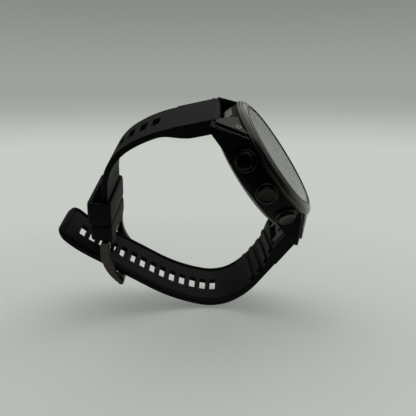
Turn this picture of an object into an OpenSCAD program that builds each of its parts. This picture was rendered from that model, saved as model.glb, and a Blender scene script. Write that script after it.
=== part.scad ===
// GPS running watch, worn closed: a round case on a buckled two-piece silicone band.
// Millimetres. The origin is at the middle of the case back, where the wrist touches it.
// +Z goes out of the dial, +Y to 12 o'clock and +X to 3 o'clock, so the band hangs below.

/* [Case] */
// Diameter of the plastic case
case_d = 49.2; // [48.6:0.1:50]
// Diameter of the metal bezel
bezel_d = 49.6; // [48.8:0.1:50]
// Height of the bezel's rim above the case back
watch_t = 14.3; // [13.8:0.1:15.5]
// Diameter of the glass
glass_d = 41.4; // [40.4:0.1:42]
// Diameter of the sensor window in the back
sensor_d = 19; // [14:0.5:22]

/* [Lugs] */
// Distance from the middle of the case to each lug pin
pin_y = 26.6; // [26.3:0.1:28]
// Height of the lug pins above the case back
pin_z = 3.6; // [3.2:0.1:4.2]
// Diameter of the lug pins
pin_d = 1.8; // [1.4:0.1:1.9]
// Width of each lug
lug_w = 4.2; // [3.8:0.1:4.8]

/* [Buttons] */
// Diameter of the button caps
cap_d = 6.2; // [5.6:0.1:6.4]
// Angle from the 9 and 3 o'clock line to the buttons beside it
button_step = 30.3; // [29:0.1:31]
// How far each button travels
button_travel = 0.5; // [0.3:0.05:0.55]

/* [Band] */
// Width of the band between the lugs
band_w = 26; // [25:0.2:26.2]
// Width of the band at its tail
tail_w = 22.8; // [20:0.2:23.4]
// Thickness of the band along its length
band_t = 2.6; // [2.3:0.1:2.8]
// Thickness of the band where it meets the case
root_t = 5.3; // [5.1:0.1:5.6]
// Width of each adjustment slot across the band
slot_w = 6.6; // [6.4:0.2:12]
// Length of each adjustment slot along the band
slot_l = 3; // [2.9:0.1:3.2]
// Distance between the adjustment slots
slot_pitch = 4.7; // [4.5:0.1:4.9]
// Number of adjustment slots
slot_count = 14; // [8:1:15]

/* [Buckle] */
// Diameter of the buckle's pin
bar_d = 1.8; // [1.4:0.1:1.9]
// Diameter of the buckle's bow
bow_d = 2.2; // [1.8:0.1:2.3]
// Thickness of the tongue
tongue_t = 1.2; // [0.9:0.1:1.3]
// Width of the tongue
tongue_w = 5.8; // [5.6:0.2:7]

/* [Hidden] */
$fn = 96;
slack = 0.05;          // between pieces that are fitted to each other
cut = 1;               // how far a cutting shape runs past the face it opens

// Levels of the case, upwards from the case back
cover_z = 0.45;        // flat of the rear cover, which the sensor window stands out of
case_z = 1.9;          // bottom of the plastic case
flange_z = 9.4;        // underside of the flange that carries the glass
bezel_z = 10.9;        // top of the plastic case
lens_t = 1.4;
lens_z = watch_t - 0.3 - lens_t;
case_r = case_d / 2;
bezel_r = bezel_d / 2;
cavity_r = 21;         // inside of the plastic case
flange_r = 18.5;       // inside of its flange
board_r = 18.4;        // main circuit board
motor_at = [13, -6.8, 3.4];
motor_r = 3.2;
pocket_y = 23.2;       // flat that the case keeps behind the end of the band
cover_r = case_r - 0.7;

// Buttons, all on one level
button_z = 6.9;
cap_face_r = 26.7;     // radius of the caps' outer faces
cap_t = 1.5;
cap_r = cap_d / 2;
cap_rest = 0.35;       // left under a cap that is pressed right in
stem_r = 1.05;
stem_in_r = 19.75;     // radius where the stems end inside the case
guard_r = cap_r + 0.85;
seat_r = 24.3;         // flat that each button's socket is cut down to
left_angles = [180 - button_step, 180, 180 + button_step];
right_angles = [button_step, -button_step];

// Lugs
lug_in = band_w / 2 + 0.3;
lug_out = lug_in + lug_w;
pin_r = pin_d / 2;
pin_end = lug_out - 1.4;       // the pins end inside the lugs
lug_tip = pin_y + 1.8;
guard_side = 63.9;             // direction that the sloping face of a lug looks in, from 3 o'clock
guard_tilt = 41.8;             // and how far it leans from the dial's own direction
guard_far = 25;                // distance of that face from the origin
guard_t = 0.9;
guard_screw = [12.5, -3.4];    // lug screw, in the plane of that face

// Rear cover
cover_screw_r = 19.3;
port_y = -14.6;
contact_pitch = 1.5;

// Latch at each lug end of the band: the pin lies this far under the band's outer face
pin_depth = 2.1;
nose_flats = 10;       // flats of the band's round end about the lug pin
plate_w = 24;
plate_l = 8.5;
slider_w = 16;
slider_l = 7.5;
slider_t = 1.6;
slider_front = -1.3;
latch_end = 10;        // end of the slider's pocket
plate_top = 0.9;       // the plate reaches this far above the pin's axis
plate_low = 1.3;       // and this far below it
slider_drop = plate_low + 0.15;
spring_x = 5.5;
spring_r = 0.42;

// Band, in the plane seen from 9 o'clock: stretches of [length, turn], from the lug pin on
buckle_side_start = -67;
buckle_side_bends = [[15.5, 0], [17, -20], [22, -55], [22.5, 0]];
hole_side_start = -70;
hole_side_bends = [[26, 0], [12, -20], [16, -46], [22, -21], [28, 0], [15.5, -20]];
band_step = 3;         // length of one flat of the band's faces
root_flat = 6;         // the band keeps root_t this far, and is down to band_t at root_end
root_end = 18;
taper_top = 0;         // the band narrows evenly between these two levels
taper_low = -72;
window_count = 4;      // openings in the buckle side
window_first = 22.1;
window_pitch = 5.3;
window_w = 8;
window_l = 3.2;
slot_last = 9.5;       // from the last slot to the tip
tongue_slot = 3;       // slots between the tip and the one in use
tip_r = 5;

// Buckle, on the straight end of the buckle side
bar_r = bar_d / 2;
bar_depth = 1.3;       // the pin's axis lies this far under the band's outer face
end_r = 2.1;           // round end of the band about the pin
hub_w = tongue_w + 0.4;
arm_in = 12.6;
arm_out = 14.9;
arm_bulge = 2.2;
bow_r = bow_d / 2;
bow_gap = 0.25;        // between the bow and the band under it
bow_back = 8.3;        // from the slot in use to the bow
tongue_h = tongue_t / 2;

// Keepers: a sliding loop and a fixed one
keeper_wall = 1.05;
keeper_side = 0.25;
sliding_at = 59.2;
sliding_l = 9;
sliding_gap = 4.2;
fixed_at = 69;
fixed_l = 6;
fixed_gap = 3.4;

// ---- Helpers ----

function heading(a) = [cos(a), sin(a)];

// End of a stretch of length l that starts at p with heading a and turns evenly by turn
function walk(p, a, l, turn) = turn == 0 ? p + l * heading(a)
    : let (r = l / turn * 180 / PI)
        p + r * [sin(a + turn) - sin(a), cos(a) - cos(a + turn)];

// Point and heading at distance s along the bends
function place(bends, p, a, s, i = 0) = i == len(bends) - 1 || s <= bends[i][0]
    ? let (turn = bends[i][1] * s / bends[i][0]) [walk(p, a, s, turn), a + turn]
    : place(bends, walk(p, a, bends[i][0], bends[i][1]), a + bends[i][1],
        s - bends[i][0], i + 1);

function total(bends, i = 0) = i == len(bends) ? 0 : bends[i][0] + total(bends, i + 1);
function band_start(a) = [pin_y, pin_z] + pin_depth * heading(a + 90);
function band_place(bends, a, s) = place(bends, band_start(a), a, s);

// Point at distance s along a band, moved out from its outer face
function band_point(bends, a, s, out) = let (at = band_place(bends, a, s))
    at[0] + out * heading(at[1] + 90);

// Thickness of the band at distance s from the lug pin
function band_thick(s) = s <= root_flat ? root_t : s >= root_end ? band_t
    : band_t + (root_t - band_t) * (1 + cos(180 * (s - root_flat) / (root_end - root_flat))) / 2;

function side_profile(bends, a) = let (
    l = total(bends),
    n = ceil(l / band_step),
    outer = [for (i = [0:n]) band_point(bends, a, l * i / n, 0)],
    inner = [for (i = [n:-1:1]) band_point(bends, a, l * i / n, -band_thick(l * i / n))],
    corner = [band_point(bends, a, 1.6, -root_t)],
    nose = [for (i = [0:nose_flats - 1])
        [pin_y, pin_z] + pin_depth * heading(a - 90 - 180 * i / nose_flats)])
    concat(outer, inner, corner, nose);

// Outline of a line of points with the given half width, mitred at the bends
function side_of(p, q) = let (d = (q - p) / norm(q - p)) [-d.y, d.x];
function mitre(points, i) = let (
    before = side_of(points[max(i - 1, 0)], points[max(i, 1)]),
    after = side_of(points[min(i, len(points) - 2)], points[min(i + 1, len(points) - 1)]),
    mid = before + after)
    2 * mid / (mid * mid);
function thick_line(points, h) = concat(
    [for (i = [0:len(points) - 1]) points[i] - h * mitre(points, i)],
    [for (i = [len(points) - 1:-1:0]) points[i] + h * mitre(points, i)]);

// Draws 2D children in the plane seen from 9 o'clock, w wide across the watch
module across(w) {
    translate([-w / 2, 0, 0]) rotate([90, 0, 90]) linear_extrude(w) children();
}

// Moves children to a point in that plane and turns their +Y to the heading
module placed(at) {
    translate([0, at[0].x, at[0].y]) rotate([at[1], 0, 0]) children();
}

module on_buckle_side(s) {
    placed(band_place(buckle_side_bends, buckle_side_start, s)) children();
}

module on_hole_side(s) {
    placed(band_place(hole_side_bends, hole_side_start, s)) children();
}

module ring(r_out, r_in, z, h) {
    translate([0, 0, z]) difference() {
        cylinder(r = r_out, h = h);
        translate([0, 0, -cut]) cylinder(r = r_in, h = h + 2 * cut);
    }
}

module disc(r, z, h) {
    translate([0, 0, z]) cylinder(r = r, h = h);
}

// Box given by its two corners
module span(from, to) {
    translate(from) cube(to - from);
}

module rounded_rect(w, h, r) {
    square([w - 2 * r, h], center = true);
    square([w, h - 2 * r], center = true);
    for (x = [-1, 1], y = [-1, 1])
        translate([x * (w / 2 - r), y * (h / 2 - r)]) circle(r);
}

// Turns children's +Z into the outward direction of a button at the given angle
module radial(angle, r) {
    rotate([0, 0, angle]) translate([r, 0, button_z]) rotate([0, 90, 0]) children();
}

module each_button() {
    for (a = concat(left_angles, right_angles)) radial(a, 0) children();
}

module lug_corners() {
    for (x = [0, 1], y = [0, 1]) mirror([x, 0, 0]) mirror([0, y, 0]) children();
}

module cover_screws_at() {
    for (a = [45:90:315]) rotate([0, 0, a]) translate([cover_screw_r, 0, 0]) children();
}

// ---- Case ----

module case_ring() {
    rotate_extrude() polygon([[cavity_r, case_z], [case_r - 0.9, case_z], [case_r - 0.25, 3.2],
        [case_r, 4.6], [case_r, 9.2], [case_r - 0.4, bezel_z], [flange_r, bezel_z],
        [flange_r, flange_z], [cavity_r, flange_z]]);
}

// Moves children to the sloping face of the lug between 12 and 3 o'clock: +X runs to its tip
module on_guard_face() {
    rotate([0, 0, guard_side]) rotate([0, guard_tilt, 0]) translate([0, 0, guard_far]) children();
}

module guard_outline() {
    polygon([[8, 2.6], [15.5, 1.6], [18.7, 0.3], [19.7, -0.4], [19.9, -1.4], [17.8, -2.5],
        [13.8, -4.7], [10, -6.9], [8, -8]]);
}

// The lug under a guard, which stands out past the guard's lower edge as a ledge
module guard_seat() {
    polygon([[8, 2.6], [15.5, 1.6], [18.7, 0.3], [19.7, -0.4], [20.1, -1.8], [19.4, -2.9],
        [15.8, -4.9], [11.4, -7.5], [8, -8.9]]);
}

module lug() {
    side = [[17, case_z], [pin_y, case_z], [lug_tip - 0.5, 2.6], [lug_tip + 0.1, pin_z],
        [lug_tip, 6], [24, 11.4], [17, 11.8]];
    plan = [[lug_in, 15], [lug_out, 15], [lug_out, 24.5], [lug_out - 1.1, 30], [lug_in, 30]];
    difference() {
        union() {
            intersection() {
                translate([lug_in, 0, 0]) rotate([90, 0, 90]) linear_extrude(lug_w)
                    polygon(side);
                linear_extrude(watch_t) polygon(plan);
            }
            on_guard_face() translate([0, 0, -guard_t - 3]) linear_extrude(3) guard_seat();
        }
        on_guard_face() translate([-20, -20, -guard_t]) cube([60, 40, 20]);
        disc(cavity_r, 0, watch_t);
        disc(bezel_r + 0.1, bezel_z, 5);
    }
}

module mid_case() color("#1b1b1c") {
    difference() {
        union() {
            case_ring();
            lug_corners() lug();
            cover_screws_at() disc(1.9, case_z, 4.2);
        }
        // Flats behind the ends of the band
        for (y = [0, 1]) mirror([0, y, 0])
            span([-lug_in, pocket_y, -cut], [lug_in, 40, 6.2]);
        for (y = [0, 1]) mirror([0, y, 0]) translate([-pin_end - 0.1, pin_y, pin_z])
            rotate([0, 90, 0]) cylinder(r = pin_r + slack, h = 2 * pin_end + 0.2);
        // Button sockets: a stepped hole for guard and bushing
        each_button() {
            translate([0, 0, cavity_r - cut]) cylinder(r = 2.2 + slack, h = 6);
            translate([0, 0, 22.6]) cylinder(r = guard_r + slack, h = 6);
        }
        // Torch window, groove for the rear gasket and holes for the screws
        span([-5.05, 20, 6.25], [5.05, 26, 9.4]);
        ring(22.9 + slack, 22.1 - slack, case_z - cut, cut + 0.6);
        cover_screws_at() disc(0.75, 0, 5.2);
        lug_corners() on_guard_face() translate(concat(guard_screw, -4.2))
            cylinder(r = 0.65, h = 5);
    }
}

module bezel() color("#55514d") {
    low_r = glass_d / 2 - 1.1;
    rotate_extrude() polygon([[low_r, bezel_z], [bezel_r - 0.5, bezel_z],
        [bezel_r, bezel_z + 0.5], [bezel_r, bezel_z + 1.5], [bezel_r - 0.5, bezel_z + 1.8],
        [bezel_r - 0.7, bezel_z + 2.5], [bezel_r - 2.1, watch_t], [glass_d / 2 + 0.5, watch_t],
        [glass_d / 2 + 0.1, lens_z + lens_t - 0.1], [glass_d / 2 + 0.1, lens_z],
        [glass_d / 2 + 0.1, lens_z - 0.3], [low_r, lens_z - 0.3]]);
}

module lens() color("#8a9094", 0.6) {
    disc(glass_d / 2, lens_z, lens_t);
}

module lens_gasket() color("#151515") {
    ring(glass_d / 2 - 0.15, glass_d / 2 - 1, lens_z - 0.3, 0.3);
}

module chapter_ring() color("#26282a") {
    out_r = glass_d / 2 - 1.1 - slack;
    rotate_extrude() polygon([[flange_r, bezel_z], [out_r, bezel_z], [out_r, lens_z - 0.1],
        [out_r - 0.5, lens_z - 0.1], [flange_r - 0.5, bezel_z + 0.5], [flange_r - 0.5, bezel_z]]);
}

module display_panel() color("#30353a") {
    disc(flange_r - 0.1, flange_z, bezel_z - flange_z - 0.1);
}

module display_tray() color("#3a3a3a") {
    difference() {
        disc(cavity_r - 0.15, 8.5, 0.85);
        span([-5, 18.8, 8], [5, 22, 10]);
    }
    for (x = [-1, 1]) translate([x * 12, 0, 7.75]) cylinder(r = 1, h = 1);
}

module main_board() color("#1f5a3a") {
    disc(board_r, 6.75, 0.9);
    span([-7, -6, 7.6], [3, 4, 8.4]);
    span([5, -11, 7.6], [11, -5, 8.2]);
    span([-10, 8, 7.6], [-4, 13, 8.2]);
}

module gps_antenna() color("#c9a66b") {
    rotate([0, 0, 62]) rotate_extrude(angle = 56)
        polygon([[19.9, 6.3], [20.85, 6.3], [20.85, 8.4], [19.9, 8.4]]);
}

module battery() color("#b9bcc0") {
    span([-12.2, -11.8, case_z + 0.35], [9.3, 11.8, 6.4]);
}

module vibration_motor() color("#a8a9ab") {
    translate(motor_at) cylinder(r = motor_r, h = 3);
}

// ---- Back of the case ----

module rear_gasket() color("#151515") {
    ring(22.9, 22.1, case_z, 0.5);
}

module rear_cover() color("#7c7a77") {
    difference() {
        rotate_extrude() polygon([[0, cover_z], [cover_r - 2.2, cover_z], [cover_r - 0.3, 1.2],
            [cover_r, 1.5], [cover_r, case_z], [0, case_z]]);
        disc(sensor_d / 2 + slack, -cut, 4);
        span([-4.3, port_y - 2.2, -cut], [4.3, port_y + 2.2, 4]);
        cover_screws_at() {
            disc(0.8, -cut, 4);
            disc(1.4, -cut, cut + 1.25);
        }
        for (y = [0, 1]) mirror([0, y, 0]) span([-lug_in, pocket_y, -cut], [lug_in, 40, 4]);
    }
}

module rear_cover_screws() color("#9a9a9a") cover_screws_at() {
    difference() {
        disc(1.3, cover_z + 0.05, 0.75);
        translate([0, 0, cover_z - cut]) cylinder(r = 0.6, h = cut + 0.45, $fn = 6);
    }
    disc(0.7, cover_z + 0.7, 4);
}

module sensor_window() color("#222428", 0.85) {
    disc(sensor_d / 2, 0, 1.1);
}

module sensor_board() color("#1f5a3a") {
    disc(8.2, 1.15, 0.7);
    for (a = [0:120:240]) rotate([0, 0, a]) span([2.6, -1, 1.8], [4.6, 1, 2.2]);
}

module charging_port() color("#202020") {
    difference() {
        span([-4.25, port_y - 2.15, cover_z + 0.1], [4.25, port_y + 2.15, case_z + 0.3]);
        span([-3.4, port_y - 1.3, -cut], [3.4, port_y + 1.3, 1.25]);
        for (i = [-1.5:1.5]) translate([i * contact_pitch, port_y, 0])
            cylinder(r = 0.4 + slack, h = 4);
    }
}

module charging_contacts() color("#d6b25e") {
    for (i = [-1.5:1.5]) translate([i * contact_pitch, port_y, 0.85]) cylinder(r = 0.4, h = 1.3);
}

// ---- Torch at 12 o'clock ----

module torch_lens() color("#c8c6a8", 0.8) {
    intersection() {
        span([-5, 22.9, 6.3], [5, 26, 9.35]);
        disc(case_r - 0.1, 0, watch_t);
    }
}

module torch_board() color("#1f5a3a") {
    span([-4.8, 21.5, 6.35], [4.8, 22.3, 9.3]);
    for (x = [-2.4, 2.4]) span([x - 0.8, 22.2, 7.2], [x + 0.8, 22.75, 8.6]);
}

// ---- Buttons ----

module button(angle) color("#2a2a2b") radial(angle, 0) {
    difference() {
        translate([0, 0, cap_face_r - cap_t]) cylinder(r = cap_r, h = cap_t);
        translate([0, 0, cap_face_r + 3.7]) sphere(r = 4.1);
    }
    translate([0, 0, stem_in_r]) cylinder(r = stem_r, h = cap_face_r - cap_t - stem_in_r + 0.2);
    translate([0, 0, stem_in_r]) cylinder(r = 1.5, h = 0.5);
}

module button_guards() color("#4a4845") each_button() {
    difference() {
        translate([0, 0, 22.65]) cylinder(r = guard_r, h = 25.5 - 22.65);
        translate([0, 0, cap_face_r - cap_t - button_travel - cap_rest])
            cylinder(r = cap_r + 0.3, h = 4);
        cylinder(r = 2.2 + slack, h = 30);
    }
}

module button_bushings() color("#8d8d8f") each_button() {
    difference() {
        translate([0, 0, 21.1]) cylinder(r = 2.2, h = seat_r - 21.1);
        cylinder(r = stem_r + slack, h = 30);
        translate([0, 0, 22.6]) cylinder(r = 1.85, h = 4);
        translate([0, 0, 20]) cylinder(r = 1.5, h = 1.9);
    }
}

module button_seals() color("#151515") each_button() {
    difference() {
        translate([0, 0, 21.25]) cylinder(r = 1.45, h = 0.6);
        cylinder(r = stem_r + slack, h = 30);
    }
}

module button_springs() color("#b8b8b8") each_button() {
    difference() {
        translate([0, 0, 22.65]) cylinder(r = 1.75, h = 1.9);
        cylinder(r = 1.35, h = 30);
    }
}

module button_switches() color("#c5b98a") for (a = concat(left_angles, right_angles)) {
    rotate([0, 0, a]) span([17, -1.6, 7.65], [board_r + 0.3, 1.6, 8.35]);
    rotate([0, 0, a]) span([board_r + 0.05, -1.6, 5.9], [board_r + 0.65, 1.6, 8.35]);
}

// ---- Lugs ----

module lug_guard(x, y) color("#5d5954") mirror([x, 0, 0]) mirror([0, y, 0]) {
    difference() {
        on_guard_face() difference() {
            translate([0, 0, -guard_t]) linear_extrude(guard_t) guard_outline();
            translate(concat(guard_screw, -0.45)) cylinder(r = 1.15, h = 2);
            translate(concat(guard_screw, -4)) cylinder(r = 0.75, h = 8);
        }
        disc(bezel_r + 0.15, bezel_z - 0.2, 5);
        disc(case_r + slack, 0, bezel_z);
    }
}

module lug_screws() color("#a5a39f") lug_corners() on_guard_face() translate(guard_screw) {
    difference() {
        translate([0, 0, -0.4]) cylinder(r = 1.05, h = 0.5);
        translate([0, 0, -0.1]) cylinder(r = 0.5, h = 1, $fn = 6);
    }
    translate([0, 0, -guard_t - 3]) cylinder(r = 0.6, h = guard_t + 2.8);
}

module lug_pin(y) color("#8d8d8f") {
    translate([-pin_end, y, pin_z]) rotate([0, 90, 0]) cylinder(r = pin_r, h = 2 * pin_end);
}

// ---- Band ----

// The band's outline seen from 3 to 9 o'clock, wide at the lugs and narrow at the tail
module band_taper() {
    depth = 200;
    top = 20;
    low = -90;
    half = [for (z = [taper_top, taper_low]) z == taper_top ? band_w / 2 : tail_w / 2];
    translate([0, depth / 2, 0]) rotate([90, 0, 0]) linear_extrude(depth)
        polygon([[-half[0], top], [-half[0], taper_top], [-half[1], taper_low], [-half[1], low],
            [half[1], low], [half[1], taper_low], [half[0], taper_top], [half[0], top]]);
}

// Space that the latch plate and the slider need in the end of the band
module latch_space() {
    translate([0, 0, -pin_depth]) {
        across(plate_w + 2 * slack) {
            circle(1.5 + slack);
            translate([0, -plate_low - slack])
                square([plate_l + slack, plate_low + plate_top + 2 * slack]);
        }
        across(band_w + 2) {
            circle(pin_r + 0.2);
            translate([-pin_r - 0.2, -8]) square([2 * pin_r + 0.4, 8]);
        }
        span([-slider_w / 2 - 1.2, -4, -8], [slider_w / 2 + 1.2, latch_end, -plate_low]);
    }
}

module latch_plate() color("#2b2b2c") translate([0, 0, -pin_depth]) {
    across(plate_w) difference() {
        union() {
            circle(1.5);
            translate([0, -plate_low]) square([plate_l, plate_low + plate_top]);
        }
        circle(pin_r + slack);
        translate([-pin_r - slack, -8]) square([2 * pin_r + 2 * slack, 8]);
    }
    for (x = [0, 1]) mirror([x, 0, 0])
        span([slider_w / 2 + 0.15, 1.4, -slider_drop - slider_t],
            [slider_w / 2 + 1, plate_l, -plate_low]);
}

module latch_slider() color("#8a8783") translate([0, 0, -pin_depth - slider_drop]) {
    difference() {
        span([-slider_w / 2, slider_front, -slider_t],
            [slider_w / 2, slider_front + slider_l, 0]);
        for (x = [-1, 1]) translate([x * spring_x, 1.5, -slider_t / 2]) rotate([-90, 0, 0])
            cylinder(r = 0.5, h = 10);
    }
    span([-4.5, 3.4, -slider_t - 0.6], [4.5, 5.6, -slider_t]);
}

module latch_springs() color("#b8b8b8") {
    for (x = [-1, 1])
        translate([x * spring_x, 3.9, -pin_depth - slider_drop - slider_t / 2])
            rotate([-90, 0, 0]) difference() {
                cylinder(r = spring_r, h = latch_end - 3.9);
                translate([0, 0, -cut]) cylinder(r = 0.22, h = latch_end);
            }
}

module band_body(bends, start) {
    difference() {
        intersection() {
            across(band_w) polygon(side_profile(bends, start));
            band_taper();
        }
        placed(band_place(bends, start, 0)) latch_space();
    }
}

module slot(w, l) {
    span([-w / 2, -l / 2, -root_t - cut], [w / 2, l / 2, cut]);
}

module strap_buckle_side() color("#222223") {
    l = total(buckle_side_bends);
    difference() {
        union() {
            band_body(buckle_side_bends, buckle_side_start);
            intersection() {
                on_buckle_side(l) translate([0, 0, -bar_depth]) across(band_w) circle(end_r);
                band_taper();
            }
        }
        for (i = [0:window_count - 1]) on_buckle_side(window_first + i * window_pitch)
            slot(window_w, window_l);
        on_buckle_side(l) translate([0, 0, -bar_depth]) {
            across(40) circle(bar_r + 0.02);
            span([-hub_w / 2, -end_r - 0.7, -8], [hub_w / 2, 8, 8]);
        }
    }
}

module strap_hole_side() color("#222223") mirror([0, 1, 0]) {
    l = total(hole_side_bends);
    difference() {
        band_body(hole_side_bends, hole_side_start);
        for (i = [0:slot_count - 1]) on_hole_side(l - slot_last - i * slot_pitch)
            slot(slot_w, slot_l);
        // Round corners at the tip
        on_hole_side(l) for (x = [0, 1]) mirror([x, 0, 0])
            translate([tail_w / 2 - tip_r, -tip_r, -8]) difference() {
                cube([tip_r + 3, tip_r + 3, 16]);
                translate([0, 0, -cut]) cylinder(r = tip_r, h = 20);
            }
    }
}

// ---- Keepers and buckle ----

module keeper(at, l, gap) color("#1e1e1f") on_buckle_side(at) {
    hole_w = tail_w + 2 * (1.3 - keeper_side) + 2 * keeper_side;
    hole_h = gap + band_t + 0.15;
    mid = (gap - band_t - 0.15) / 2;
    translate([0, l, mid]) rotate([90, 0, 0]) linear_extrude(l) difference() {
        rounded_rect(hole_w + 2 * keeper_wall, hole_h + 2 * keeper_wall, 1.6);
        rounded_rect(hole_w, hole_h, 0.6);
    }
}

bar_at = band_point(buckle_side_bends, buckle_side_start, total(buckle_side_bends), -bar_depth);
slot_at = total(hole_side_bends) - slot_last - tongue_slot * slot_pitch;

// Point over the hole side, turned back from its mirrored plane
function over_holes(s, out) = let (p = band_point(hole_side_bends, hole_side_start, s, out))
    [-p.x, p.y];

bow_at = over_holes(slot_at - bow_back, bow_gap + bow_r);

module buckle_pin() color("#8d8d8f") {
    translate([-arm_out + 0.3, bar_at.x, bar_at.y]) rotate([0, 90, 0])
        cylinder(r = bar_r, h = 2 * arm_out - 0.6);
}

// Crescent arm between the pin and the bow, wider at the pin
module arm_outline() {
    reach = bow_at - bar_at;
    out = [-reach.y, reach.x] / norm(reach);
    hub = 2;
    steps = 12;
    middle = [for (i = [0:steps]) let (t = i / steps)
        bar_at + t * reach + 4 * arm_bulge * t * (1 - t) * out];
    half = [for (i = [0:steps]) hub + (bow_r - hub) * i / steps];
    polygon(concat([for (i = [0:steps]) middle[i] + half[i] * out],
        [for (i = [steps:-1:0]) middle[i] - half[i] * out]));
    translate(bar_at) circle(hub);
    translate(bow_at) circle(bow_r);
}

module buckle_frame() color("#4f4a45") {
    difference() {
        union() {
            for (x = [0, 1]) mirror([x, 0, 0]) translate([arm_in, 0, 0]) rotate([90, 0, 90])
                linear_extrude(arm_out - arm_in) arm_outline();
            translate([0, bow_at.x, bow_at.y]) across(2 * arm_in + 1) circle(bow_r);
        }
        translate([0, bar_at.x, bar_at.y]) across(40) circle(bar_r + slack);
    }
}

module buckle_tongue() color("#59544e") {
    tip = over_holes(slot_at - bow_back - 0.4, bow_gap + bow_d + 0.4 + tongue_h);
    line = [bar_at, over_holes(slot_at + 0.6, -band_t - 0.7), over_holes(slot_at - 0.7, 1.3), tip];
    difference() {
        across(tongue_w) {
            polygon(thick_line(line, tongue_h));
            translate(bar_at) circle(1.9);
            translate(tip) circle(tongue_h);
        }
        translate([0, bar_at.x, bar_at.y]) across(40) circle(bar_r + slack);
    }
}

// ---- Nodes ----

mid_case();
bezel();
lens();
lens_gasket();
chapter_ring();
display_panel();
display_tray();
main_board();
gps_antenna();
battery();
vibration_motor();
rear_gasket();
rear_cover();
rear_cover_screws();
sensor_window();
sensor_board();
charging_port();
charging_contacts();
torch_lens();
torch_board();
button_guards();
button_bushings();
button_seals();
button_springs();
button_switches();
button(left_angles[0]);  // button_light
button(left_angles[1]);  // button_up
button(left_angles[2]);  // button_down
button(right_angles[0]);  // button_start
button(right_angles[1]);  // button_back
lug_guard(1, 0);  // lug_guard_12_left
lug_guard(0, 0);  // lug_guard_12_right
lug_guard(1, 1);  // lug_guard_6_left
lug_guard(0, 1);  // lug_guard_6_right
lug_screws();
lug_pin(pin_y);  // lug_pin_12
lug_pin(-pin_y);  // lug_pin_6
strap_buckle_side();
on_buckle_side(0) latch_plate();  // latch_plate_12
on_buckle_side(0) latch_slider();  // latch_slider_12
on_buckle_side(0) latch_springs();  // latch_springs_12
keeper(sliding_at, sliding_l, sliding_gap);  // keeper_sliding
keeper(fixed_at, fixed_l, fixed_gap);  // keeper_fixed
buckle_pin();
buckle_frame();
buckle_tongue();
strap_hole_side();
mirror([0, 1, 0]) on_hole_side(0) latch_plate();  // latch_plate_6
mirror([0, 1, 0]) on_hole_side(0) latch_slider();  // latch_slider_6
mirror([0, 1, 0]) on_hole_side(0) latch_springs();  // latch_springs_6
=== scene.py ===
import math

import bmesh
import bpy
from mathutils import Matrix, Vector


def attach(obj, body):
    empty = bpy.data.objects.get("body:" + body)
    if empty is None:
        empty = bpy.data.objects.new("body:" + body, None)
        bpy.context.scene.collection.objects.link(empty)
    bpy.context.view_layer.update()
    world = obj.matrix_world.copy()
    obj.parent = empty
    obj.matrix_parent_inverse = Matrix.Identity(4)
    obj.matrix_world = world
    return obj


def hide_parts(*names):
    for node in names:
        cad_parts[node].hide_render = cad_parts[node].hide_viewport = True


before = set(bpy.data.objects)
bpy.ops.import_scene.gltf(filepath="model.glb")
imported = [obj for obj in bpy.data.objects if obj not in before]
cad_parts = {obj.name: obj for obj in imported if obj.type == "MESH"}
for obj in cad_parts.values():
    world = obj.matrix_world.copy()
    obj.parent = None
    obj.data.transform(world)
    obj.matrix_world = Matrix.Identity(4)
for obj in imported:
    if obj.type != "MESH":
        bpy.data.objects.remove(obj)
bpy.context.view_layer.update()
mm = 0.001

# ---------- camera, light and floor ----------

studio = {
    "cameraAt": (-0.1824, 0.0714, 0.0401),
    "right": (0.0344, -0.5801, 0.8138),
    "up": (0.4667, 0.7294, 0.5002),
    "lens": 44.95,
    "worldUp": (0.263, 0.791, 0.553),
    "darkSide": (-0.8837, 0.3626, 0.2959),   # the room is dark towards this side
    "fill": 0.40,                            # light from all round
    "fillTone": (0.97, 1.0, 0.96, 1),
    "haze": (0.570, 0.602, 0.560), "hazeAt": 0.445,       # the backdrop, from low to high
    "horizon": (0.345, 0.362, 0.335), "horizonAt": 0.50,
    "shade": (0.240, 0.250, 0.228), "shadeAt": 0.60,
    "dimming": {"From Min": -0.35, "From Max": 0.45, "To Min": 1.0, "To Max": 0.06},
    "floorTone": (0.70, 0.735, 0.69),
}
worldUp = Vector(studio["worldUp"]).normalized()


def lookMatrix(at, right, up):
    right = Vector(right).normalized()
    up = (Vector(up) - right * right.dot(Vector(up))).normalized()
    back = right.cross(up)
    turn = Matrix((right, up, back)).transposed().to_4x4()
    return Matrix.Translation(Vector(at)) @ turn


def newObject(name, data):
    item = bpy.data.objects.new(name, data)
    bpy.context.scene.collection.objects.link(item)
    return item


def addCamera():
    data = bpy.data.cameras.new("productCamera")
    data.lens = studio["lens"]
    data.sensor_width = 36
    data.clip_start = 0.005
    data.clip_end = 5
    camera = newObject("productCamera", data)
    camera.matrix_world = lookMatrix(studio["cameraAt"], studio["right"], studio["up"])
    bpy.context.scene.camera = camera


def addSoftbox(name, direction, distance, size, watts):
    data = bpy.data.lights.new(name, "AREA")
    data.shape = "DISK"
    data.size = size
    data.energy = watts
    lamp = newObject(name, data)
    direction = Vector(direction).normalized()
    middle = Vector((0, 0, -0.02))
    turn = (-direction).to_track_quat("-Z", "Y").to_matrix().to_4x4()
    lamp.matrix_world = Matrix.Translation(middle + direction * distance) @ turn


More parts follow.
